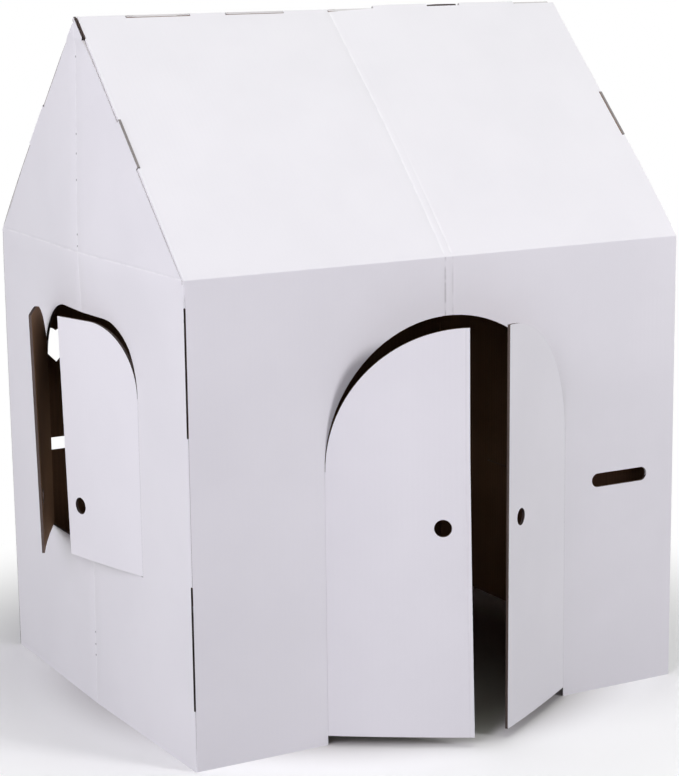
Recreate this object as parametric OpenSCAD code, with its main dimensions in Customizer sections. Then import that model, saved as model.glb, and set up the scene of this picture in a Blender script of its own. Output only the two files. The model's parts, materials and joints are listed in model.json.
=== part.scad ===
// Cardboard playhouse, folded from two alike die-cut sheets of single-wall board.
// Each sheet is one long wall, its roof slope and one gable. The second sheet is
// the first one turned half round, and the two are glued along two upright corners.
// Origin: middle of the footprint on the floor. Front wall faces -Y, Z is up. Millimetres.

/* [Walls] */
// length of the house, along the ridge
house_w = 813; // [760:1:1000]
// depth of the house, across the ridge
house_d = 673; // [560:1:860]
// height of the walls, floor to eave fold
wall_h = 688; // [640:1:900]
// pitch of the roof slopes, degrees
roof_pitch = 45; // [35:1:52]
// thickness of the board
board_t = 4; // [2.5:0.1:6]
// outer radius of a folded edge
fold_r = 3; // [1:0.1:4]

/* [Ridge fingers] */
// width of the finger at each end of the ridge
finger_end = 75; // [40:1:110]
// first finger edge from the middle of the ridge
finger_1 = 76; // [50:1:90]
// second finger edge from the middle
finger_2 = 172; // [130:1:180]
// third finger edge from the middle
finger_3 = 230; // [200:1:240]
// how far the fingers stand above the slope they cross
finger_stand = 2; // [0.5:0.1:6]
// room between a finger and its gap
finger_gap = 0.8; // [0.3:0.1:2]

/* [Gable tabs] */
// distance of a gable tab from the ridge, along the slope
tab_down = 194; // [120:1:240]
// length of a gable tab along the slope
tab_len = 87; // [40:1:140]
// length of the tip tab beside the ridge
tip_len = 41; // [20:1:80]
// how far the tabs stand above the roof
tab_stand = 1; // [0.5:0.1:6]
// room between a tab and its notch
tab_gap = 0.6; // [0.3:0.1:2]
// open seam between a gable edge and the roof on it
seam_gap = 0.6; // [0.3:0.1:1.5]
// cut-back at the foot of the gable seam
seam_relief = 6; // [3:0.5:15]

/* [Glued corners] */
// width of the glue flap
flap_w = 30; // [20:1:40]
// the flap stops this far short of the floor and of the eave
flap_short = 12; // [5:1:40]
// slant at the ends of the flap, along the corner
flap_slant = 12; // [2:1:20]
// glue line between the flap and the wall
glue_t = 0.2; // [0.1:0.05:0.5]

/* [Corner slits] */
// length of each slit in the folded corner
slit_len = 178; // [60:1:200]
// width of the slit
slit_w = 3; // [1.5:0.1:4]
// floor to the start of the lower slit
slit_low = 88; // [40:1:150]
// top of the upper slit to the eave fold
slit_top = 37; // [20:1:60]

/* [Creases] */
// width of a pressed crease
crease_w = 3; // [1.5:0.1:5]
// depth of a pressed crease
crease_depth = 0.5; // [0.2:0.1:0.8]
// distance between the two creases over the front
crease_pair = 12.4; // [8:0.1:20]

/* [Door] */
// width of the arched door opening
door_w = 406; // [300:1:440]
// offset of the door from the middle of its wall
door_shift = 5; // [-15:0.5:15]
// floor to the centre of the arch
door_spring = 401; // [300:1:440]
// floor to the bottom edge of a leaf
leaf_foot = 14; // [5:1:30]
// cut round a leaf or a shutter
kerf = 1; // [0.6:0.1:2]
// clearance at the fold of a leaf or a shutter
hinge_gap = 0.4; // [0.3:0.1:1]

/* [Window] */
// width of the gable window
window_w = 348; // [240:1:400]
// floor to the sill
window_sill = 240; // [160:1:280]
// floor to the top of the window
window_top = 600; // [540:1:630]
// radius of the upper corners of the window
window_r = 100; // [40:1:115]

/* [Finger holes] */
// diameter of the finger holes
hole_d = 25; // [18:0.5:32]
// floor to the finger holes
hole_z = 320; // [300:1:360]
// free edge of a door leaf to the hole centre
door_hole_in = 39; // [25:1:60]
// free edge of a shutter to the hole centre
shutter_hole_in = 32; // [22:1:50]

/* [Mail slot and cut-out] */
// length of the mail slot
slot_len = 100; // [70:1:110]
// height of the mail slot
slot_h = 21; // [14:0.5:30]
// floor to the middle of the slot
slot_z = 329; // [250:1:400]
// side of the square that the heart in the back wall is drawn on
heart_side = 37; // [25:1:45]
// floor to the tip of the heart
heart_z = 463; // [420:1:520]
// heart axis to the edge of its wall
heart_edge = 81; // [70:1:110]

/* [How far the leaves stand open] */
// front door, left leaf, degrees
door_left_open = 29; // [0:1:120]
// front door, right leaf, degrees
door_right_open = 32; // [0:1:120]
// left window, shutter next to the front
window_front_open = 13; // [0:1:120]
// left window, shutter next to the back
window_back_open = 26; // [0:1:120]

/* [Hidden] */
$fn = 96;
// overshoot of cutting bodies
cut = 20;
hw = house_w / 2;
hd = house_d / 2;
// along the slope from the eave corner to the ridge, on the outer face
slope_len = hd / cos(roof_pitch);
ridge_z = wall_h + hd * tan(roof_pitch);
// inner corner of the eave fold lies this far below the outer one
eave_drop = board_t * tan((90 - roof_pitch) / 2);
// a finger reaches past the ridge, a gap stops short of it
finger_past = (finger_stand + board_t * max(0, cos(2 * roof_pitch))) / sin(2 * roof_pitch);
finger_short = board_t * (1 + max(0, -cos(2 * roof_pitch))) / sin(2 * roof_pitch) + finger_gap;
finger_edge = [0, finger_1, finger_2, finger_3, hw - finger_end, hw + cut];
// the straight part of the tip tab starts here, clear of the end of the back slope
tip_start = finger_short + finger_gap;
door_r = door_w / 2;
slot_x = (door_shift + door_r + hw) / 2;
white = [0.93, 0.93, 0.95];
shade = [0.86, 0.86, 0.89];

// Front wall and roof slope in section, from the floor over the eave to the ridge.
module wall_and_slope_section() {
    turn = 90 - roof_pitch;
    back_off = fold_r * tan(turn / 2);
    slope_end = slope_len + finger_past;
    eave = [-hd, wall_h];
    up = [cos(roof_pitch), sin(roof_pitch)];
    inward = [sin(roof_pitch), -cos(roof_pitch)];
    inner_eave = [-hd + board_t, wall_h - eave_drop];
    difference() {
        union() {
            polygon([[-hd, 0],
                     eave - [0, back_off],
                     eave + back_off * up,
                     eave + slope_end * up,
                     eave + slope_end * up + board_t * inward,
                     inner_eave,
                     [-hd + board_t, 0]]);
            translate(eave - [0, back_off] + [fold_r, 0])
                circle(r = fold_r);
        }
        polygon([[-hd + board_t, -cut],
                 inner_eave,
                 eave + slope_end * up + board_t * inward,
                 eave + slope_end * up + 4 * board_t * inward,
                 [-hd + 5 * board_t, wall_h - 2 * eave_drop - 4 * board_t],
                 [-hd + 5 * board_t, -cut]]);
    }
}

// Gable wall with its pointed top, as a flat outline in depth (x) and height (y).
module gable_outline() {
    front_in = -hd + board_t + seam_gap;
    back_in = hd - board_t - glue_t;
    under = (board_t + seam_gap) / cos(roof_pitch);
    peak = ridge_z - under;
    polygon([[-hd, 0],
             [-hd, wall_h - seam_relief],
             [front_in, wall_h - seam_relief],
             [front_in, peak + front_in * tan(roof_pitch)],
             [0, peak],
             [back_in, peak - back_in * tan(roof_pitch)],
             [back_in, 0]]);
    // one tab on each slope, and the tip tab on the front slope, which ends in the peak
    for (side = [1, -1])
        gable_tab(side, tab_down, tab_len);
    gable_tab(1, tip_start, tip_len - tip_start);
    gable_peak();
}

// Top of the tip tab: it fills the corner of the ridge up to the outer face of the back slope.
module gable_peak() {
    front_down = [-cos(roof_pitch), -sin(roof_pitch)];
    back_down = [cos(roof_pitch), -sin(roof_pitch)];
    front_out = [-sin(roof_pitch), cos(roof_pitch)];
    ridge = [0, ridge_z];
    below = ridge + (tip_start + board_t) * front_down;
    polygon([ridge - tab_stand / sin(2 * roof_pitch) * back_down,
             below + tab_stand * front_out,
             below - board_t * front_out,
             ridge + board_t / sin(2 * roof_pitch) * back_down]);
}

// A tab in the plane of the gable that passes the roof: side 1 is the front slope.
module gable_tab(side, down, long) {
    sunk = board_t + seam_gap + board_t;
    mirror([side > 0 ? 0 : 1, 0])
        translate([0, ridge_z])
            rotate(180 + roof_pitch)
                translate([down, -tab_stand])
                    square([long, tab_stand + sunk]);
}

// Notch for a gable tab in the edge of the front slope; end -1 is the left edge.
module slope_notch(end, down, long) {
    translate([end * hw, 0, ridge_z])
        rotate([roof_pitch, 0, 0])
            translate([end < 0 ? -cut : -board_t - tab_gap, -down - long - tab_gap, -2 * board_t])
                cube([cut + board_t + tab_gap, long + 2 * tab_gap, 4 * board_t]);
}

// Gap in the ridge edge of the front slope, between two places along the ridge.
module ridge_gap_cut(from, to) {
    translate([0, 0, ridge_z])
        rotate([roof_pitch, 0, 0])
            translate([from - finger_gap / 2, -finger_short, -2 * board_t])
                cube([to - from + finger_gap, finger_short + cut, 4 * board_t]);
}

// Door opening seen from the front: two upright jambs and a half round arch.
module door_outline() {
    translate([door_shift - door_r, -cut])
        square([door_w, door_spring + cut]);
    translate([door_shift, door_spring])
        circle(r = door_r);
}

// Window opening: a plain sill, and round upper corners.
module window_outline() {
    straight = window_w / 2 - window_r;
    translate([-window_w / 2, window_sill])
        square([window_w, window_top - window_r - window_sill]);
    translate([-straight, window_sill])
        square([2 * straight, window_top - window_sill]);
    for (side = [-1, 1])
        translate([side * straight, window_top - window_r])
            circle(r = window_r);
}

module slot_outline() {
    translate([slot_x, slot_z]) {
        square([slot_len - slot_h, slot_h], center = true);
        for (end = [-1, 1])
            translate([end * (slot_len - slot_h) / 2, 0])
                circle(d = slot_h);
    }
}

module heart_outline() {
    translate([hw - heart_edge, heart_z])
        rotate(45) {
            square(heart_side);
            translate([heart_side / 2, heart_side])
                circle(d = heart_side);
            translate([heart_side, heart_side / 2])
                circle(d = heart_side);
        }
}

// Carries a flat outline (x along the house, y up) through the front wall.
module through_front() {
    translate([0, -hd + board_t + cut, 0])
        rotate([90, 0, 0])
            linear_extrude(board_t + 2 * cut)
                children();
}

// Carries a flat outline (x along the depth, y up) through the left gable.
module through_gable() {
    translate([-hw - cut, 0, 0])
        rotate([90, 0, 90])
            linear_extrude(board_t + 2 * cut)
                children();
}

// Rounds an upright fold of the left gable; depth_y is its outer corner, side 1 the front one.
module corner_round(depth_y, side) {
    translate([-hw, depth_y, -cut])
        mirror([0, side > 0 ? 0 : 1, 0])
            linear_extrude(wall_h - seam_relief + cut)
                difference() {
                    translate([-cut, -cut])
                        square(fold_r + cut);
                    translate([fold_r, fold_r])
                        circle(r = fold_r);
                }
}

// Slits cut right through the folded corner, with round ends.
module corner_slits() {
    for (z0 = [slit_low, wall_h - slit_top - slit_len])
        translate([-hw, -hd, z0])
            rotate([0, 0, 45])
                rotate([90, 0, 90])
                    translate([0, 0, -board_t])
                        linear_extrude(4 * board_t) {
                            translate([-slit_w / 2, slit_w / 2])
                                square([slit_w, slit_len - slit_w]);
                            for (e = [slit_w / 2, slit_len - slit_w / 2])
                                translate([0, e])
                                    circle(d = slit_w);
                        }
}

// Two creases over the front wall and its slope, one down the gable, one along its eave.
module creases() {
    for (s = [-1, 1])
        translate([door_shift + s * crease_pair / 2 - crease_w / 2, 0, 0]) {
            translate([0, -hd - cut, 0])
                cube([crease_w, cut + crease_depth, wall_h - crease_w]);
            translate([0, 0, ridge_z])
                rotate([roof_pitch, 0, 0])
                    translate([0, -slope_len + crease_w, -crease_depth])
                        cube([crease_w, slope_len + cut, cut]);
        }
    translate([-hw - cut, -crease_w / 2, -cut])
        cube([cut + crease_depth, crease_w, ridge_z + cut]);
    translate([-hw - cut, -hd + board_t + seam_gap, wall_h - crease_w / 2])
        cube([cut + crease_depth, house_d - 2 * board_t - seam_gap - glue_t, crease_w]);
}

// Flap at the back edge of the gable, folded in and glued to the back wall.
module glue_flap() {
    translate([-hw, hd - board_t - glue_t, 0])
        rotate([90, 0, 0])
            linear_extrude(board_t)
                polygon([[0, flap_short],
                         [board_t, flap_short],
                         [board_t + flap_w, flap_short + flap_slant],
                         [board_t + flap_w, wall_h - flap_short - flap_slant],
                         [board_t, wall_h - flap_short],
                         [0, wall_h - flap_short]]);
}

// Front wall and slope, with the fingers cut in the ridge edge and the notches in the sides.
module wall_and_slope() {
    difference() {
        translate([-hw, 0, 0])
            rotate([90, 0, 90])
                linear_extrude(house_w)
                    wall_and_slope_section();
        for (i = [0, 2, 4])
            ridge_gap_cut(finger_edge[i], finger_edge[i + 1]);
        for (i = [1, 3])
            ridge_gap_cut(-finger_edge[i + 1], -finger_edge[i]);
        for (end = [-1, 1])
            slope_notch(end, tab_down, tab_len);
        slope_notch(-1, -cut, tip_len + cut);
    }
}

// One die-cut sheet, folded: front wall, front slope, left gable and glue flap.
module sheet(heart) {
    difference() {
        union() {
            wall_and_slope();
            translate([-hw, 0, 0])
                rotate([90, 0, 90])
                    linear_extrude(board_t)
                        gable_outline();
            glue_flap();
        }
        through_front() {
            door_outline();
            slot_outline();
            if (heart)
                heart_outline();
        }
        through_gable()
            window_outline();
        corner_round(-hd, 1);
        corner_round(hd - board_t - glue_t, -1);
        corner_slits();
        creases();
    }
}

// Door leaf, closed: the fold is the Z axis, the outer face lies at y = 0.
module leaf() {
    difference() {
        translate([0, board_t, 0])
            rotate([90, 0, 0])
                linear_extrude(board_t)
                    difference() {
                        intersection() {
                            translate([hinge_gap, leaf_foot])
                                square([door_r - kerf / 2 - hinge_gap, door_spring + door_r]);
                            union() {
                                square([door_w, door_spring]);
                                translate([door_r, door_spring])
                                    circle(r = door_r - kerf);
                            }
                        }
                        translate([door_r - kerf / 2 - door_hole_in, hole_z])
                            circle(d = hole_d);
                    }
        translate([door_r - (crease_pair + crease_w) / 2, -cut, 0])
            cube([crease_w, cut + crease_depth, door_spring + door_w]);
    }
}

// Window shutter, closed, laid out like the door leaf.
module shutter() {
    translate([0, board_t, 0])
        rotate([90, 0, 0])
            linear_extrude(board_t)
                difference() {
                    intersection() {
                        translate([hinge_gap, window_sill + kerf])
                            square([window_w / 2 - kerf / 2 - hinge_gap, window_top - window_sill - 2 * kerf]);
                        union() {
                            square([window_w, window_top - window_r]);
                            translate([window_r, 0])
                                square([window_w, window_top]);
                            translate([window_r, window_top - window_r])
                                circle(r = window_r - kerf);
                        }
                    }
                    translate([window_w / 2 - kerf / 2 - shutter_hole_in, hole_z])
                        circle(d = hole_d);
                }
}

// Hangs a leaf in a wall: turn faces the wall, fold is its place there, side 1 hangs on the left.
module hang(turn, wall, fold, side, open) {
    rotate([0, 0, turn])
        translate([fold, -wall, 0])
            rotate([0, 0, -side * open])
                mirror([side > 0 ? 0 : 1, 0, 0])
                    children();
}

module front_sheet() {
    color(white)
        sheet(false);
}

module back_sheet() {
    color(shade)
        rotate([0, 0, 180])
            sheet(true);
}

module front_door_left() {
    color(white)
        hang(0, hd, door_shift - door_r, 1, door_left_open)
            leaf();
}

module front_door_right() {
    color(white)
        hang(0, hd, door_shift + door_r, -1, door_right_open)
            leaf();
}

module left_window_front_shutter() {
    color(white)
        hang(-90, hw, window_w / 2, -1, window_front_open)
            shutter();
}

module left_window_back_shutter() {
    color(white)
        hang(-90, hw, -window_w / 2, 1, window_back_open)
            shutter();
}

module back_door_left() {
    color(shade)
        hang(180, hd, door_shift - door_r, 1, 0)
            leaf();
}

module back_door_right() {
    color(shade)
        hang(180, hd, door_shift + door_r, -1, 0)
            leaf();
}

module right_window_front_shutter() {
    color(shade)
        hang(90, hw, -window_w / 2, 1, 0)
            shutter();
}

module right_window_back_shutter() {
    color(shade)
        hang(90, hw, window_w / 2, -1, 0)
            shutter();
}

front_sheet();
back_sheet();
front_door_left();
front_door_right();
left_window_front_shutter();
left_window_back_shutter();
back_door_left();
back_door_right();
right_window_front_shutter();
right_window_back_shutter();
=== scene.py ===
import json
from collections import namedtuple
from math import cos, pi, radians, sin, tan

import bmesh
import bpy
from mathutils import Matrix, Vector
from mathutils.bvhtree import BVHTree


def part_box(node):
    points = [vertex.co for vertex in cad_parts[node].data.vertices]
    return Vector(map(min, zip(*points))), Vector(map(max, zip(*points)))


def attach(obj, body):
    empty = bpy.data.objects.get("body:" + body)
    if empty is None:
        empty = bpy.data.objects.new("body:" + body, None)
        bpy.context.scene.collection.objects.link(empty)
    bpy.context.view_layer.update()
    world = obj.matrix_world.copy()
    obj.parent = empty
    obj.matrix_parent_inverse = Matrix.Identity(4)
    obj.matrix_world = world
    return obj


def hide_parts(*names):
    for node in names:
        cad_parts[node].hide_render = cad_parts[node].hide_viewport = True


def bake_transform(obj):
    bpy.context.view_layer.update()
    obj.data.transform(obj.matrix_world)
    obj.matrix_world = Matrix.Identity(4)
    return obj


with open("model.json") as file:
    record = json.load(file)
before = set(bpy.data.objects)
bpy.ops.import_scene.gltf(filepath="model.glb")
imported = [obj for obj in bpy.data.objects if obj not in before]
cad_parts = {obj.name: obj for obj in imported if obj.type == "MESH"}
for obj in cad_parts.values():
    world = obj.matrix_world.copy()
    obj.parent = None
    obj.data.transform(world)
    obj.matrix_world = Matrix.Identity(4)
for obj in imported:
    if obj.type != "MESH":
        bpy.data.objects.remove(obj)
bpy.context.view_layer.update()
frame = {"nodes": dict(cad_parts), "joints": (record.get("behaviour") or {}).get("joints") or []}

# The board of the whole house is single-wall corrugated board: a bleached liner
# outside, a brown kraft liner inside, and a fluted kraft medium glued between them.
# The flutes run upright in the walls and straight up the roof slopes.
closed_leaf_low, closed_leaf_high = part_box("back_door_left")
BOARD = closed_leaf_high.y - closed_leaf_low.y
LINER = 0.0004
MEDIUM = 0.00025
GLUE_ROOM = 0.0002
FLUTE = 0.0076
FLUTE_STEPS = 8
HAIR = 0.00001
WHITE_FACE, KRAFT_FACE, CUT_FACE, EDGE_FACE, EDGE_AND_FLUTE_SHADE_FACE = 0, 1, 2, 3, 4

# One flat field of the board: a point on its outer face, the way out of the face,
# the way across the flutes and the way along them.
Panel = namedtuple("Panel", "origin out across up")


class Wire:
    """A shader socket that takes part in Python arithmetic."""

    def __init__(self, tree, socket=None):
        self.tree = tree
        self.socket = socket

    def node(self, kind, settings=None, sockets=None, output=0):
        made = self.tree.nodes.new(kind)
        for key, value in (settings or {}).items():
            setattr(made, key, value)
        for key, value in (sockets or {}).items():
            if isinstance(value, Wire):
                self.tree.links.new(value.socket, made.inputs[key])
            else:
                made.inputs[key].default_value = value
        return Wire(self.tree, made.outputs[output] if made.outputs else None)

    def math(self, operation, *values):
        return self.node("ShaderNodeMath", {"operation": operation}, dict(enumerate(values)))

    def __add__(self, other):
        return self.math("ADD", self, other)

    def __radd__(self, other):
        return self.math("ADD", other, self)

    def __sub__(self, other):
        return self.math("SUBTRACT", self, other)

    def __rsub__(self, other):
        return self.math("SUBTRACT", other, self)

    def __mul__(self, other):
        return self.math("MULTIPLY", self, other)

    def __rmul__(self, other):
        return self.math("MULTIPLY", other, self)

    def between(self, low, high):
        """0 below low, 1 above high, and a smooth rise between them."""
        return self.node("ShaderNodeMapRange", {"interpolation_type": "SMOOTHSTEP"},
                         {"Value": self, "From Min": low, "From Max": high})

    def blend(self, first, second):
        """The first colour where this wire is 0, the second where it is 1.

        A Mix node's colour sockets share their names with others, so they go by number."""
        return self.node("ShaderNodeMix", {"data_type": "RGBA"}, {0: self, 6: first, 7: second}, output=2)


def paper(name, pale, deep, wave, fibre, roughness, nicks=()):
    """A liner or a raw edge: mottled, with stretched fibres and the flutes telling through.

    Creases carry painted light where the mesh is marked: a painted highlight where the mark is above 0 and
    painted shade where it is below, and nicks stand at the heights given."""
    painted_crease_highlight = (0.95, 0.945, 0.955, 1)
    painted_crease_shade = (0.45, 0.43, 0.44, 1)
    nick_grey = (0.34, 0.33, 0.34, 1)
    nick_core, nick_rim = 0.0009, 0.0022
    relief_depth = 0.0002
    material = bpy.data.materials.new(name)
    material.use_nodes = True
    tree = material.node_tree
    tree.nodes.clear()
    start = Wire(tree)
    place = start.node("ShaderNodeTexCoord", output="Object")
    sheet = start.node("ShaderNodeTexCoord", output="UV")
    across = start.node("ShaderNodeSeparateXYZ", sockets={0: sheet}, output="X")
    stretched = start.node("ShaderNodeMapping", sockets={"Vector": sheet, "Scale": (260.0, 1500.0, 1.0)})
    grain = start.node("ShaderNodeTexNoise", sockets={"Vector": stretched, "Scale": 1.0, "Detail": 4.0})
    cloud = start.node("ShaderNodeTexNoise", sockets={"Vector": place, "Scale": 7.0, "Detail": 3.0})
    patch = start.node("ShaderNodeTexNoise", sockets={"Vector": place, "Scale": 45.0, "Detail": 2.0})
    fleck = start.node("ShaderNodeTexNoise", sockets={"Vector": place, "Scale": 520.0, "Detail": 2.0})
    ripple = start.math("SINE", across * (2 * pi / FLUTE))
    tone = cloud.between(0.3, 0.7) * 0.55 + grain.between(0.25, 0.75) * fibre + ripple * (wave * 0.5)
    # pressed holds the painted light of the creases: above 0 a painted highlight, below 0 painted shade.
    pressed = start.node("ShaderNodeAttribute", {"attribute_name": "pressed"}, output="Fac")
    pressed = pressed * patch.between(0.25, 0.6)
    crease_highlit = pressed.between(0.0, 1.0).blend(tone.blend(pale, deep), painted_crease_highlight)
    colour = (0.0 - pressed).between(0.0, 1.0).blend(crease_highlit, painted_crease_shade)
    flat = start.node("ShaderNodeVectorMath", {"operation": "MULTIPLY"}, {0: place, 1: (0, 1, 1)})
    for height in nicks:
        away = start.node("ShaderNodeVectorMath", {"operation": "DISTANCE"}, {0: flat, 1: (0, 0, height)},
                          output="Value")
        colour = away.between(nick_core, nick_rim).blend(nick_grey, colour)
    relief = ripple * wave + grain * (0.35 * fibre) + fleck * (0.2 * fibre)
    bump = start.node("ShaderNodeBump",
                      sockets={"Strength": 1.0, "Distance": relief_depth, "Height": relief})
    shader = start.node("ShaderNodeBsdfPrincipled",
                        sockets={"Base Color": colour, "Normal": bump, "IOR": 1.45,
                                 "Roughness": grain * 0.12 + roughness, "Specular IOR Level": 0.35})
    start.node("ShaderNodeOutputMaterial", sockets={"Surface": shader})
    return material


# The nicks are on the upright crease of a gable, at these heights.
crease_nicks = (0.969, 0.859, 0.831, 0.793, 0.714, 0.697, 0.112, 0.093, 0.076)
white_liner = paper("white_liner", (0.84, 0.829, 0.854, 1), (0.80, 0.790, 0.816, 1),
                    wave=0.05, fibre=0.25, roughness=0.58, nicks=crease_nicks)
kraft_liner = paper("kraft_liner", (0.28, 0.156, 0.082, 1), (0.205, 0.111, 0.057, 1),
                    wave=0.35, fibre=0.55, roughness=0.72)
cut_board = paper("cut_board", (0.15, 0.115, 0.10, 1), (0.09, 0.068, 0.058, 1),
                  wave=0.0, fibre=0.6, roughness=0.85)
edge_board = paper("edge_board", (0.74, 0.72, 0.72, 1), (0.64, 0.62, 0.62, 1),
                   wave=0.0, fibre=0.6, roughness=0.8)
# A grey strip that closes flute ends: the raw edge's tone with painted shade of the open flutes.
edge_and_flute_shade_board = paper("edge_and_flute_shade_board", (0.31, 0.29, 0.28, 1), (0.23, 0.213, 0.205, 1),
                   wave=0.0, fibre=0.6, roughness=0.8)
board_finishes = (white_liner, kraft_liner, cut_board, edge_board, edge_and_flute_shade_board)


def cad_copy(node, panels):
    """A welded copy of a CAD node, with the square-cut creases of its outer faces filled level."""
    crease_depth = 0.0005
    same_depth = 0.00002
    welded = bmesh.new()
    welded.from_mesh(frame["nodes"][node].data)
    bmesh.ops.remove_doubles(welded, verts=welded.verts, dist=0.1 * HAIR)
    for panel in panels:
        for vert in welded.verts:
            depth = (panel.origin - vert.co).dot(panel.out)
            if abs(depth - crease_depth) < same_depth:
                vert.co += depth * panel.out
    bmesh.ops.remove_doubles(welded, verts=welded.verts, dist=HAIR)
    welded.normal_update()
    return welded


def panel_of(face, panels, side):
    """The panel that a face lies on: side 1 for its outer face, side -1 for its inner one."""
    facing = 0.999
    centre = face.calc_center_median()
    wanted = 0.0 if side > 0 else BOARD
    for panel in panels:
        depth = (panel.origin - centre).dot(panel.out)
        if side * face.normal.dot(panel.out) > facing and abs(depth - wanted) < 10 * HAIR:
            return panel
    return None


def fold_of(face, folds):
    """The first of the two panels whose rounded outer fold a face belongs to."""
    fold_reach = 1.1 * BOARD
    level_with = 0.01
    centre = face.calc_center_median()
    for first, second in folds:
        along = first.out.cross(second.out).normalized()
        turned = min(face.normal.dot(first.out), face.normal.dot(second.out)) > level_with
        level = abs(face.normal.dot(along)) < level_with
        near = all(abs((panel.origin - centre).dot(panel.out)) < fold_reach for panel in (first, second))
        if turned and level and near:
            return first
    return None


def cut_up(skin, cuts):
    """Cuts a sheet along planes square to each axis, so that it can bend there."""
    for axis, places in cuts:
        for place in places:
            everything = skin.verts[:] + skin.edges[:] + skin.faces[:]
            bmesh.ops.bisect_plane(skin, geom=everything, dist=0.1 * HAIR,
                                   plane_co=axis * place, plane_no=axis)
    skin.normal_update()


def add_liner(board, welded, panels, folds, side, cuts, shape, mark):
    """Adds one liner to the board: the faces of that side, cut up, bent and thickened."""
    nearly_flat = radians(0.2)
    skin = welded.copy()
    spare = [face for face in skin.faces
             if not (panel_of(face, panels, side) or (side > 0 and fold_of(face, folds)))]
    bmesh.ops.delete(skin, geom=spare, context="FACES")
    bmesh.ops.dissolve_limit(skin, angle_limit=nearly_flat, verts=skin.verts, edges=skin.edges)
    cut_up(skin, cuts)
    layer = skin.loops.layers.uv.new("sheet")
    for face in skin.faces:
        panel = panel_of(face, panels, side) or fold_of(face, folds)
        face.material_index = WHITE_FACE if side > 0 else KRAFT_FACE
        for loop in face.loops:
            step = loop.vert.co - panel.origin
            loop[layer].uv = (step.dot(panel.across), step.dot(panel.up))
    # The pressed layer carries the painted light of the creases, on the outer liner only.
    pressed = skin.verts.layers.float.new("pressed")
    for vert in skin.verts:
        vert[pressed] = mark(vert.co) if side > 0 else 0.0
        vert.co = shape(vert.co, 0.0 if side > 0 else 1.0)
    skin.normal_update()
    thicken(skin, LINER)
    join(board, skin)


def thicken(skin, thickness):
    """Closes an open sheet into a shell, its other side that far behind it."""
    front = skin.faces[:]
    behind = {tuple(vert.co): vert.co - thickness * vert.normal for vert in skin.verts}
    made = bmesh.ops.extrude_face_region(skin, geom=front, use_keep_orig=True)["geom"]
    for item in made:
        if isinstance(item, bmesh.types.BMVert):
            item.co = behind[tuple(item.co)]
    kept = set(front)
    for face in skin.faces:
        if face not in kept:
            face.material_index = CUT_FACE
    bmesh.ops.recalc_face_normals(skin, faces=skin.faces)


def add_edges(board, welded, panels, cuts, shape, finish):
    """Adds the raw edges where crushed medium closes the board.

    finish gives the look of each edge, or None for one that is left open."""
    steepest = 0.35
    square_to = 0.05
    rim = 0.0002
    set_back = 0.0003
    over_ends = 0.00005

    def raw_edge(face):
        """The panel whose raw edge a face is, and its look."""
        centre = face.calc_center_median()
        for panel in reversed(panels):
            depth = (panel.origin - centre).dot(panel.out)
            square = abs(face.normal.dot(panel.out)) < square_to
            look = finish(centre, abs(face.normal.dot(panel.up)) < steepest)
            if square and look is not None and rim < depth < BOARD - rim:
                return panel, look
        return None

    strip = welded.copy()
    bmesh.ops.delete(strip, geom=[face for face in strip.faces if not raw_edge(face)], context="FACES")
    cut_up(strip, cuts)
    bmesh.ops.delete(strip, geom=[face for face in strip.faces if not raw_edge(face)], context="FACES")
    layer = strip.loops.layers.uv.new("sheet")
    moved = {}
    for face in strip.faces:
        panel, face.material_index = raw_edge(face)
        sunk = set_back if abs(face.normal.dot(panel.up)) < steepest else -over_ends
        for loop in face.loops:
            step = loop.vert.co - panel.origin
            loop[layer].uv = (-step.dot(panel.out), step.dot(panel.up))
            moved[loop.vert] = shape(loop.vert.co, -step.dot(panel.out) / BOARD) - sunk * loop.vert.normal
    for vert, place in moved.items():
        vert.co = place
    join(board, strip)


def join(board, part):
    """Moves one bmesh into another."""
    carrier = bpy.data.meshes.new("carrier")
    part.to_mesh(carrier)
    part.free()
    board.from_mesh(carrier)
    bpy.data.meshes.remove(carrier)


def solid_runs(tree, start, along, reach):
    """Where a straight line is inside the board, as pairs of distances along it."""
    hits = []
    travelled = 0.0
    while True:
        hit, _, _, step = tree.ray_cast(start + along * travelled, along, reach - travelled)
        if hit is None:
            break
        travelled += step + HAIR
        hits.append(travelled)
    return list(zip(hits[0::2], hits[1::2]))


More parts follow.
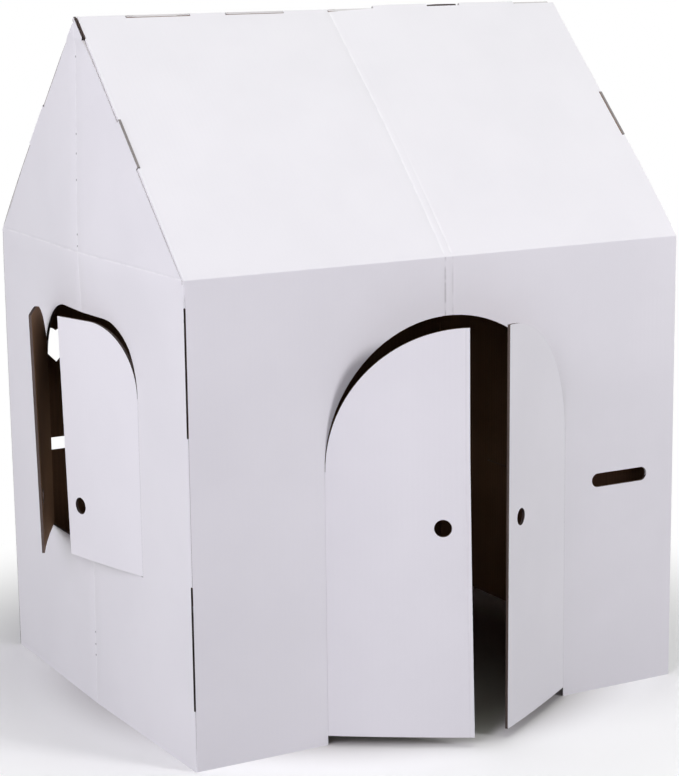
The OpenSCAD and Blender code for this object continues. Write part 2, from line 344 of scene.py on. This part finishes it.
def add_medium(board, tree, panel, span, clip, levels, shape):
    """Adds the fluted medium of one panel: a wave across it, run along the flutes where there is board.

    span is where it lies across the flutes, clip its reach along them, and levels where it may bend."""
    shortest = 0.008
    longest_slant = 0.02
    level_room = 0.002
    below = 0.05
    low, high = span
    count = int((high - low) / FLUTE * FLUTE_STEPS)
    room = BOARD - 2 * (LINER + GLUE_ROOM)

    def runs(place):
        """Where there is board along the flutes at one place, within the clip."""
        foot = panel.origin + panel.across * place - panel.out * (BOARD / 2)
        start = foot + panel.up * (clip[0] - below)
        found = []
        for begin, end in solid_runs(tree, start, panel.up, clip[1] - clip[0] + 2 * below):
            begin = max(begin - below, 0.0) + clip[0]
            end = min(end - below, clip[1] - clip[0]) + clip[0]
            if end - begin > shortest:
                found.append((begin, end))
        return found

    sheet = bmesh.new()
    made = {}

    def point(column, height):
        """The vertex of the wave at one column and height, made once."""
        key = (column, round(height, 6))
        if key not in made:
            place = low + column * FLUTE / FLUTE_STEPS
            part = 0.5 - 0.5 * cos(2 * pi * column / FLUTE_STEPS)
            depth = LINER + GLUE_ROOM + room * part
            at_rest = panel.origin + panel.across * place + panel.up * height
            made[key] = sheet.verts.new(shape(at_rest, part) - panel.out * depth)
        return made[key]

    step = FLUTE / FLUTE_STEPS
    columns = [runs(low + column * step) for column in range(count + 1)]
    for column in range(count):
        left, right = columns[column], columns[column + 1]
        alike = len(left) == len(right) and all(one[0] < other[1] and other[0] < one[1]
                                                for one, other in zip(left, right))
        if not alike:
            left = right = runs(low + (column + 0.5) * step)
        for one, other in zip(left, right):
            bottom, top = (one[0], other[0]), (one[1], other[1])
            if max(bottom) - min(bottom) > longest_slant:
                bottom = (max(bottom), max(bottom))
            if max(top) - min(top) > longest_slant:
                top = (min(top), min(top))
            inner = [level for level in levels if max(bottom) + level_room < level < min(top) - level_room]
            rows = [bottom] + [(level, level) for level in inner] + [top]
            for lower, upper in zip(rows, rows[1:]):
                sheet.faces.new((point(column, lower[0]), point(column + 1, lower[1]),
                                 point(column + 1, upper[1]), point(column, upper[0])))
    for face in sheet.faces:
        face.material_index = CUT_FACE
    layer = sheet.loops.layers.uv.new("sheet")
    for face in sheet.faces:
        for loop in face.loops:
            step_from = loop.vert.co - panel.origin
            loop[layer].uv = (step_from.dot(panel.across), step_from.dot(panel.up))
    sheet.normal_update()
    thicken(sheet, MEDIUM)
    join(board, sheet)


def finish_board(name, board, node, body):
    """Makes the object of a finished board, which stands for its CAD node."""
    sharp = radians(25)
    mesh = bpy.data.meshes.new(name)
    board.to_mesh(mesh)
    board.free()
    mesh.shade_smooth()
    mesh.set_sharp_from_angle(angle=sharp)
    for material in board_finishes:
        mesh.materials.append(material)
    piece = bpy.data.objects.new(name, mesh)
    bpy.context.scene.collection.objects.link(piece)
    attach(piece, body)
    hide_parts(node)
    return piece


# The front sheet is one die-cut sheet, folded into the front wall, the front roof slope,
# the left gable and a glue flap. The back sheet is the same one turned half round.
# Packing creases cross them, and the gable has sprung out a little where two creases meet.
sheet_low, sheet_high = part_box("front_sheet")
HALF_W = -sheet_low.x
HALF_D = -sheet_low.y
WALL_H = 0.688
PITCH = radians(45)
RIDGE_Z = WALL_H + HALF_D * tan(PITCH)
SLOPE = HALF_D / cos(PITCH)
GLUE_LINE = HALF_D - sheet_high.y
FLAP = 0.030
DOOR_X = 0.005
WINDOW_HALF, WINDOW_SILL, WINDOW_TOP = 0.174, 0.240, 0.600
SLIT_LOW = 0.088

# The packing creases: two side by side over the door, one up the gable and one across it at the eave.
CREASE_X = 0.0067
CREASE_PAIR = 0.0124
CREASE_HALF = 0.0026
CREASE_DEEP = 0.0006

# The locks: tabs of the gable, measured down the slope from the ridge, in notches of the slope,
# and fingers along the ridge. A seam that is pressed shut stays open by a hairline.
GABLE_TABS = ((0.0, 0.041), (0.194, 0.281))
TIP_FOOT = RIDGE_Z - GABLE_TABS[0][1] * sin(PITCH)
TIP_BEND = 0.012
NOTCH = 0.0046
OPEN_FINGER = -0.201
FINGER_SHORT = 0.0048
FINGER_GAP = 0.0006
SEAM = 0.0006
HAIRLINE = 0.0001
X, Y, Z = Vector((1, 0, 0)), Vector((0, 1, 0)), Vector((0, 0, 1))

wall = Panel(Vector((0, -HALF_D, 0)), -Y, X, Z)
slope = Panel(Vector((0, -HALF_D, WALL_H)), Vector((0, -sin(PITCH), cos(PITCH))), X,
              Vector((0, cos(PITCH), sin(PITCH))))
gable = Panel(Vector((-HALF_W, 0, 0)), -X, -Y, Z)
flap = Panel(Vector((0, HALF_D - GLUE_LINE, 0)), Y, -X, Z)
sheet_panels = (wall, slope, gable, flap)


def ramp(value, *stops):
    """A value read off straight lines between stops."""
    for (low, at_low), (high, at_high) in zip(stops, stops[1:]):
        if value <= high:
            share = max(0.0, (value - low) / (high - low))
            return at_low + share * (at_high - at_low)
    return stops[-1][1]


def crease(distance):
    """How far a pressed crease is sunk at a distance from its line, as a share of its depth."""
    if abs(distance) > CREASE_HALF:
        return 0.0
    return 0.5 + 0.5 * cos(pi * distance / CREASE_HALF)


def crease_pair(x, left=1.0, right=1.0):
    """The same for the two creases side by side over the door, each with its own strength."""
    return left * crease(x - CREASE_X + CREASE_PAIR / 2) + right * crease(x - CREASE_X - CREASE_PAIR / 2)


def sprung_gable(y, z, spring):
    """How far the gable stands out: a low tent over its creases, flat at the window's folds."""
    below_top = WINDOW_TOP - 0.1
    tip_half = 0.08
    if WINDOW_SILL < z < below_top:
        return 0.0
    if z <= WINDOW_SILL:
        width = ramp(z, (0.0, HALF_D), (WINDOW_SILL, WINDOW_HALF))
        rise = ramp(z, (0.0, 0.5), (WINDOW_SILL, 0.3))
    else:
        width = ramp(z, (below_top, 0.1), (WINDOW_TOP, WINDOW_HALF), (WALL_H, HALF_D),
                     (RIDGE_Z - tip_half, tip_half), (RIDGE_Z, tip_half))
        rise = ramp(z, (below_top, 0.5), (WALL_H, 1.0), (RIDGE_Z, 0.15))
    return spring * rise * max(0.0, 1.0 - abs(y) / width)


def leaning(z, lean):
    """How far the gable has gone out past the roof: a little all the way up, and most at its tip."""
    return lean * ramp(z, (WALL_H, 0.0), (WALL_H + 0.08, 0.2), (TIP_FOOT - TIP_BEND, 0.2),
                       (TIP_FOOT, 0.9), (RIDGE_Z, 1.0))


def pulled_corner(at, pull):
    """How far the glued edge of the gable is pulled out."""
    height = ramp(at.z, (0.0, 0.55), (0.5, 1.0), (WALL_H - 0.04, 1.0), (WALL_H, 0.7),
                  (WALL_H + 0.05, 0.0))
    return pull * height * ramp(at.y, (HALF_D - 0.09, 0.0), (HALF_D - BOARD, 1.0))


def lifted(run, at_ridge):
    """How far the free end of a slope stands off the other sheet's gable, from eave to ridge."""
    lift = 0.006
    return ramp(run, (0.0, 0.0), (0.12, 0.6 * lift), (0.3, lift), (0.85, lift), (1.0, at_ridge))


def sheet_field(at):
    """Which field of the folded sheet a point is in, in the sheet's own frame."""
    near = 1.5 * BOARD
    slack = 0.0003
    up_slope = (at - slope.origin).dot(slope.up)
    under_roof = (slope.origin - at).dot(slope.out)
    at_gable = at.x < BOARD - HALF_W + HAIR and abs(at.y) < HALF_D - BOARD
    in_tab = at_gable and any(start - slack < SLOPE - up_slope < end + slack for start, end in GABLE_TABS)
    if up_slope > BOARD and -near < under_roof < BOARD + slack and not in_tab:
        return slope
    if at_gable:
        return gable
    if at.z < WALL_H - BOARD and abs((at - wall.origin).dot(wall.out)) < near:
        return wall
    return None


def under_slopes(at):
    """How deep a point lies under the outer face of the nearer slope."""
    return (RIDGE_Z - at.z) * cos(PITCH) - abs(at.y) * sin(PITCH)


def worn_away(run):
    """How much is left of the right one of the two creases, from the eave up the slope."""
    return ramp(run, (0.15, 1.0), (0.45, 0.1))


def bent_gable(at, wear, sunk):
    """A point of the gable, bent: sprung and leaning out, and raised where the other slope lies on it.

    Its creases are sunk, and its seam under the roof is pressed shut."""
    far_out = Vector((0, sin(PITCH), cos(PITCH)))
    moved = sprung_gable(at.y, at.z, wear.spring) + leaning(at.z, wear.lean)
    moved += pulled_corner(at, wear.corner)
    moved -= sunk * max(crease(at.y), crease(at.z - WALL_H))
    rises = ramp(at.y, (0.0, 0.0), (0.03, 1.0)) * ramp(at.z, (WALL_H, 0.0), (WALL_H + 0.08, 1.0))
    rise = rises * lifted(1 - at.y / HALF_D, wear.far_ridge)
    seam = under_slopes(at) - BOARD
    at = at + far_out * rise
    if HAIRLINE < seam < SEAM + HAIRLINE:
        at = at + (far_out if at.y > 0 else slope.out) * (seam - HAIRLINE)
    return at + gable.out * moved


def bent_slope(at, wear, sunk):
    """A point of the slope, bent: proud along its creases, lifted at its free end and worn at its fingers.

    Its creases are sunk, and its finger gaps and the notches behind a leaning gable are pressed shut."""
    proud = 0.006
    past_crease = DOOR_X + 0.09
    finger_worn = 0.6
    length = (at - slope.origin).dot(slope.up)
    run = min(1.0, length / SLOPE)
    middle = proud * sin(pi * run)
    end = lifted(run, wear.ridge)
    moved = ramp(at.x, (-HALF_W, 0.0), (DOOR_X, middle), (past_crease, middle + (end - middle) * run),
                 (HALF_W, end))
    kicked = ramp(at.x, (OPEN_FINGER - 0.04, 0.75), (OPEN_FINGER, 1.0), (OPEN_FINGER + 0.1, 0.0))
    moved += wear.kick * kicked * ramp(run, (0.8, 0.0), (1.0, 1.0))
    moved -= sunk * crease_pair(at.x, 1.0, worn_away(run))
    if abs(at.x + HALF_W - NOTCH) < HAIRLINE:
        at = at - X * min(leaning(at.z, wear.lean), NOTCH - HAIRLINE)
    if abs(SLOPE - length - FINGER_SHORT) < HAIRLINE:
        at = at + slope.up * FINGER_GAP
    at = at - slope.up * finger_worn * max(0.0, length - SLOPE)
    return at + slope.out * moved


def sheet_shape(wear, turn):
    """The bending of a sheet: a function of a point and its depth in the board, 0 outside and 1 inside."""
    slit_start = SLIT_LOW + wear.slit_short

    def shape(place, depth):
        at = turn.inverted() @ place
        at_corner = max(at.x + HALF_W, at.y + HALF_D) < 2 * BOARD
        if at_corner and SLIT_LOW - HAIRLINE < at.z < slit_start:
            at.z = slit_start
        field = sheet_field(at)
        sunk = CREASE_DEEP * (1 - depth)
        if field is gable:
            at = bent_gable(at, wear, sunk)
        elif field is slope:
            at = bent_slope(at, wear, sunk)
        elif field is wall:
            at = at + wall.out * (-sunk * crease_pair(at.x))
        elif at.x < BOARD - HALF_W + HAIRLINE and at.y > 0:
            at = at - X * pulled_corner(at, wear.corner)
        return turn @ at

    return shape


def sheet_edges(turn):
    """The look of a sheet's raw edges: open at the gable's tip and at one finger, or else crushed, or above
    the roof closed with the raw edge's tone and painted shade of the open flutes.
    """
    finger_half = 0.03
    tip_depth = 0.05

    def finish(place, along_flutes):
        at = turn.inverted() @ place
        below = under_slopes(at)
        on_gable = at.x < BOARD - HALF_W + HAIR and at.z > WALL_H
        past_ridge = (at - slope.origin).dot(slope.up) > SLOPE
        if along_flutes or (on_gable and below > BOARD):
            return EDGE_FACE
        # Above the roof, away from the tip, the flute ends are closed by a grey strip with painted shade of
        # the open flutes.
        if on_gable and below < 0 and abs(at.y) > tip_depth:
            return EDGE_AND_FLUTE_SHADE_FACE
        if past_ridge and abs(at.x - OPEN_FINGER) > finger_half:
            return EDGE_FACE
        return None

    return finish


def sheet_mark(turn):
    """The painted light of the creases: a painted highlight on the slope and the gable, and painted shade on
    the wall.
    """
    gable_bright, slope_bright = 0.6, 0.55
    left_crease_shade, right_crease_shade = -0.7, -0.4

    def mark(place):
        at = turn.inverted() @ place
        field = sheet_field(at)
        if field is gable:
            return gable_bright * max(crease(at.y), crease(at.z - WALL_H))
        if field is slope:
            left = worn_away((at - slope.origin).dot(slope.up) / SLOPE)
            return crease_pair(at.x, slope_bright, slope_bright * left)
        if field is wall or abs(at.y + HALF_D) < 2 * HAIRLINE:
            return crease_pair(at.x, left_crease_shade, right_crease_shade)
        return 0.0

    return mark


def spread(low, high, step):
    """Even places from low to high, about a step apart."""
    count = max(1, round((high - low) / step))
    return [low + (high - low) * index / count for index in range(count + 1)]


# The liners are cut on a grid, and finer across each crease, so that they can bend.
GRID = 0.03
crease_steps = [CREASE_HALF * step for step in (-1.0, -0.5, 0.0, 0.5, 1.0)]
pair_places = (CREASE_X - CREASE_PAIR / 2, CREASE_X + CREASE_PAIR / 2)
across_cuts = spread(-HALF_W + BOARD, HALF_W, GRID)[1:-1]
across_cuts += [place + step for place in pair_places for step in crease_steps]
depth_cuts = spread(-HALF_D + BOARD, HALF_D - BOARD, GRID)[1:-1] + crease_steps
height_cuts = spread(0.0, RIDGE_Z, GRID)[1:-1] + [WALL_H + step for step in crease_steps]
height_cuts += [TIP_FOOT - TIP_BEND, TIP_FOOT]

# How a sheet is worn: its gable sprung and leaning out, its slope and the one on the far side
# of its gable lifted at the ridge, its last fingers kicked up, its glued corner pulled out,
# and its lower slit short.
Wear = namedtuple("Wear", "spring lean ridge far_ridge kick corner slit_short")
front_wear = Wear(spring=0.012, lean=0.0042, ridge=0.0065, far_ridge=0.0, kick=0.0, corner=0.0035,
                  slit_short=0.0)
back_wear = Wear(spring=0.004, lean=0.0, ridge=0.0, far_ridge=0.0065, kick=0.005, corner=0.0,
                 slit_short=0.022)
OVER_RIDGE = 0.01
SLOPE_GRID = 0.08

for node, wear, angle in (("front_sheet", front_wear, 0.0), ("back_sheet", back_wear, pi)):
    turn = Matrix.Rotation(angle, 3, "Z")
    panels = [Panel(*(turn @ way for way in panel)) for panel in sheet_panels]
    wall_turned, slope_turned, gable_turned, flap_turned = panels
    folds = ((wall_turned, slope_turned), (wall_turned, gable_turned), (gable_turned, flap_turned))
    shape = sheet_shape(wear, turn)
    mark = sheet_mark(turn)
    cuts = [(turn @ X, across_cuts), (turn @ Y, depth_cuts), (Z, height_cuts)]
    welded = cad_copy(node, panels)
    tree = BVHTree.FromBMesh(welded)
    board = bmesh.new()
    for side in (1, -1):
        add_liner(board, welded, panels, folds, side, cuts, shape, mark)
    add_medium(board, tree, wall_turned, (-HALF_W + BOARD, HALF_W),
               (0.0, WALL_H - 0.75 * BOARD), [], shape)
    add_medium(board, tree, slope_turned, (-HALF_W + 1.2 * BOARD, HALF_W - 1.2 * BOARD),
               (BOARD, SLOPE + OVER_RIDGE), spread(0.0, SLOPE, SLOPE_GRID)[1:-1], shape)
    add_medium(board, tree, gable_turned, (-HALF_D + 1.1 * BOARD, HALF_D - BOARD),
               (0.0, RIDGE_Z + OVER_RIDGE), sorted(height_cuts), shape)
    add_medium(board, tree, flap_turned, (HALF_W - FLAP, HALF_W - BOARD), (0.0, WALL_H), [], shape)
    add_edges(board, welded, panels, cuts, shape, sheet_edges(turn))
    welded.free()
    finish_board(node + "_board", board, node, "house")


# Each door leaf and shutter is cut out of its wall on three sides and hangs on a scored fold.
# The board is the same. Those that have stood open are bowed, and lean out along the free edge.
BOW = 0.002
KERF_FILL = 0.00045
SAG_REACH, SAG_CURVE = 0.72, 1.2
OVER_END = 0.001
# Painted shade along the creases of leaves in the long walls.
LEAF_CREASE_SHADE = -0.4
sag_at_foot = {"front_door_left": 0.006}
lean_at_foot = {"front_door_left": 0.014, "front_door_right": 0.001,
                "left_window_front_shutter": 0.002, "left_window_back_shutter": 0.0016}
lean_at_top = {"front_door_left": 0.003, "front_door_right": 0.003,
               "left_window_front_shutter": 0.011, "left_window_back_shutter": 0.0075}


def leaf_edges(place, along_flutes):
    """The look of a leaf's raw edges: those cut along the flutes are closed by the torn medium."""
    return CUT_FACE if along_flutes else None


def hung(joint):
    """How a leaf hangs: its fold, the ways out of its wall and along it when shut, its angle at rest,
    and whether it is in a long wall."""
    fold = Vector(joint["pos_m"])
    in_long_wall = abs(abs(fold.y) - HALF_D) < HAIRLINE
    outward = Vector((0, fold.y, 0)).normalized() if in_long_wall else Vector((fold.x, 0, 0)).normalized()
    along = joint["axis"][2] * outward.cross(Z)
    return fold, outward, along, radians(-joint["range_deg"][0]) * joint["axis"][2], in_long_wall


for joint in frame["joints"]:
    leaf = joint["child"]
    fold, outward, along, opened, in_long_wall = hung(joint)
    swing = Matrix.Rotation(opened, 3, "Z")
    panel = Panel(fold, swing @ outward, swing @ along, Z)
    bow = BOW if abs(opened) > 0 else 0.0
    creased = 0.5 if in_long_wall else 0.0
    low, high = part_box(leaf)
    length = max((vert.co - fold).dot(panel.across) for vert in frame["nodes"][leaf].data.vertices)
    crease_at = length - CREASE_PAIR / 2
    foot, top = lean_at_foot.get(leaf, 0.0), lean_at_top.get(leaf, 0.0)
    sag = sag_at_foot.get(leaf, 0.0)
    filled = 0.0 if abs(opened) > 0 else KERF_FILL

    def leaf_shape(place, depth):
        run = (place - panel.origin).dot(panel.across)
        share = run / length
        height = (place.z - low.z) / (high.z - low.z)
        bent = 4 * bow * share * (1 - share) + share * (foot + (top - foot) * height)
        sunk = creased * CREASE_DEEP * (1 - depth) * crease(run - crease_at)
        wider = share * (filled + sag * max(0.0, 1 - height / SAG_REACH) ** SAG_CURVE)
        return place + panel.out * (bent - sunk) + panel.across * wider

    # Painted shade along the crease of a leaf in a long wall.
    def leaf_mark(place):
        return LEAF_CREASE_SHADE * creased * crease((place - panel.origin).dot(panel.across) - crease_at)

    welded = cad_copy(leaf, [panel])
    tree = BVHTree.FromBMesh(welded)
    board = bmesh.new()
    run_cuts = spread(0.0, length, GRID)[1:-1] + [crease_at + step for step in crease_steps]
    start_at = panel.origin.dot(panel.across)
    leaf_height_cuts = spread(low.z, high.z, GRID)[1:-1]
    cuts = [(panel.across, [start_at + place for place in run_cuts]), (Z, leaf_height_cuts)]
    for side in (1, -1):
        add_liner(board, welded, [panel], [], side, cuts, leaf_shape, leaf_mark)
    add_medium(board, tree, panel, (0.4 * BOARD, length), (low.z - OVER_END, high.z + OVER_END),
               spread(low.z, high.z, 3 * GRID)[1:-1], leaf_shape)
    add_edges(board, welded, [panel], cuts, leaf_shape, leaf_edges)
    welded.free()
    finish_board(leaf + "_board", board, leaf, leaf)


# The scored folds that the leaves and shutters hang on: the outer liner runs on through the valley,
# and the crushed board and the kraft liner wrap round behind it.
FOLD_STEPS = 8
FOLD_EDGE = 0.002
FOLD_SHARP = radians(40)
fold_depths = (HAIRLINE, BOARD - 2 * HAIRLINE)
for joint in frame["joints"]:
    leaf = joint["child"]
    fold, outward, along, opened, _ = hung(joint)
    swing = Matrix.Rotation(opened, 3, "Z")
    across = swing @ along
    leaf_places = [vert.co for vert in frame["nodes"][leaf].data.vertices]
    edge = [place for place in leaf_places if (place - fold).dot(across) < FOLD_EDGE]
    kerf = min((place - fold).dot(across) for place in edge)
    foot, top = min(place.z for place in edge), max(place.z for place in edge)
    ring = []
    for step in range(FOLD_STEPS + 1):
        share = step / FOLD_STEPS
        turned = Matrix.Rotation(opened * share, 3, "Z")
        ring.append([fold + turned @ (along * kerf * share - outward * depth) for depth in fold_depths])
    web = bmesh.new()
    outline = [web.verts.new(Vector((place.x, place.y, foot)))
               for place in [pair[1] for pair in ring] + [pair[0] for pair in reversed(ring)]]
    profile = web.faces.new(outline)
    raised = bmesh.ops.extrude_face_region(web, geom=[profile], use_keep_orig=True)["geom"]
    bmesh.ops.translate(web, vec=Z * (top - foot),
                        verts=[item for item in raised if isinstance(item, bmesh.types.BMVert)])
    bmesh.ops.recalc_face_normals(web, faces=web.faces)
    layer = web.loops.layers.uv.new("sheet")
    for face in web.faces:
        centre = face.calc_center_median()
        behind = (centre - fold).xy.length > 0.8 * BOARD
        level = abs(face.normal.z) > 0.5
        face.material_index = CUT_FACE if level else KRAFT_FACE if behind else WHITE_FACE
        for loop in face.loops:
            loop[layer].uv = ((loop.vert.co - fold).dot(along), loop.vert.co.z)
    mesh = bpy.data.meshes.new(leaf + "_fold")
    web.to_mesh(mesh)
    web.free()
    mesh.shade_smooth()
    mesh.set_sharp_from_angle(angle=FOLD_SHARP)
    for material in board_finishes:
        mesh.materials.append(material)
    piece = bpy.data.objects.new(leaf + "_fold", mesh)
    bpy.context.scene.collection.objects.link(piece)
    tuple(ring[0][1])
    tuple(ring[-1][1])
    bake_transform(piece)


# The floor is a plain pale sheet with painted shade under the house, and the light is that of a small studio:
# a wide soft light overhead, two from the left, one from behind, and a firmer one from the right.
FLOOR_RADIUS = 4.0
FLOOR_WHITE = (0.93, 0.93, 0.93, 1)
PAINTED_SHADE_UNDER_HOUSE = (0.3, 0.28, 0.27, 1)
BOUNCE_GREY = (0.3, 0.3, 0.31, 1)


def camera_rays(start):
    """1 for what the camera sees, also in a shiny surface, and 0 for light that falls on the house."""
    direct = start.node("ShaderNodeLightPath", output="Is Camera Ray")
    return direct + start.node("ShaderNodeLightPath", output="Is Glossy Ray")


floor_mesh = bpy.data.meshes.new("floor")
floor_shape = bmesh.new()
bmesh.ops.create_circle(floor_shape, cap_ends=True, radius=FLOOR_RADIUS, segments=96)
floor_shape.to_mesh(floor_mesh)
floor_shape.free()
floor_sheet = bpy.data.objects.new("floor", floor_mesh)
bpy.context.scene.collection.objects.link(floor_sheet)
pale = bpy.data.materials.new("pale_floor")
pale.use_nodes = True
pale.node_tree.nodes.clear()
start = Wire(pale.node_tree)
seen = camera_rays(start)
place = start.node("ShaderNodeTexCoord", output="Object")
away = start.node("ShaderNodeVectorMath", {"operation": "LENGTH"}, {0: place}, output="Value")
# Painted shade: the floor's colour turns grey towards the middle, within 0.5 of it, under the house.
floor_with_painted_shade = away.between(0.3, 0.5).blend(PAINTED_SHADE_UNDER_HOUSE, FLOOR_WHITE)
near = start.node("ShaderNodeBsdfDiffuse", sockets={"Color": floor_with_painted_shade})
white = start.node("ShaderNodeEmission", sockets={"Color": (1, 1, 1, 1), "Strength": 1.0})
shown = start.node("ShaderNodeMixShader", sockets={0: away.between(0.5, 0.95), 1: near, 2: white})
bounced = start.node("ShaderNodeBsdfDiffuse", sockets={"Color": BOUNCE_GREY})
mixed = start.node("ShaderNodeMixShader", sockets={0: seen, 1: bounced, 2: shown})
start.node("ShaderNodeOutputMaterial", sockets={"Surface": mixed})
floor_mesh.materials.append(pale)

world = bpy.data.worlds.new("studio")
bpy.context.scene.world = world
world.use_nodes = True
world.node_tree.nodes.clear()
start = Wire(world.node_tree)
seen = camera_rays(start)
dim = start.node("ShaderNodeBackground", sockets={"Color": (0.97, 0.97, 1.0, 1), "Strength": 0.06})
white = start.node("ShaderNodeBackground", sockets={"Color": (1, 1, 1, 1), "Strength": 1.0})
mixed = start.node("ShaderNodeMixShader", sockets={0: seen, 1: dim, 2: white})
start.node("ShaderNodeOutputWorld", sockets={"Surface": mixed})

aim = Vector((0, 0, 0.5))
for name, place, size, power, tint in (
        ("overhead", (0.2, -0.8, 4.2), 2.6, 57, (1.0, 1.04, 0.95)),
        ("left_soft", (-3.4, -0.5, 1.2), 1.6, 52, (1.0, 1.0, 1.02)),
        ("left_front", (-2.7, -2.0, 2.0), 1.4, 34, (1.0, 0.93, 1.1)),
        ("right_key", (1.95, -3.25, 1.7), 0.85, 71, (1.0, 0.98, 1.03)),
        ("back_soft", (2.2, 3.4, 2.4), 1.8, 34, (1.0, 1.0, 1.0))):
    lamp = bpy.data.lights.new(name, "AREA")
    lamp.shape = "SQUARE"
    lamp.size = size
    lamp.energy = power
    lamp.color = tint
    light = bpy.data.objects.new(name, lamp)
    light.location = place
    light.rotation_euler = (aim - light.location).to_track_quat("-Z", "Y").to_euler()
    bpy.context.scene.collection.objects.link(light)

# The camera stands to the left of the door, a little above the ridge, as in the picture,
# and its focal length is given in pixels of a picture of that height.
IMAGE_HEIGHT = 776
FOCAL_PIXELS = 2204.15
camera_data = bpy.data.cameras.new("camera")
camera_data.sensor_width = 36.0
camera_data.lens = camera_data.sensor_width * FOCAL_PIXELS / IMAGE_HEIGHT
camera = bpy.data.objects.new("camera", camera_data)
heading, dip, roll = radians(-28.89), radians(11.443), radians(-0.706)
aimed = Matrix.Rotation(heading, 4, "Z") @ Matrix.Rotation(pi / 2 - dip, 4, "X")
aimed = aimed @ Matrix.Rotation(roll, 4, "Z")
camera.matrix_world = Matrix.Translation((-1.62124, -2.96187, 1.12497)) @ aimed
bpy.context.scene.collection.objects.link(camera)
bpy.context.scene.camera = camera
bpy.context.scene.view_settings.view_transform = "Standard"
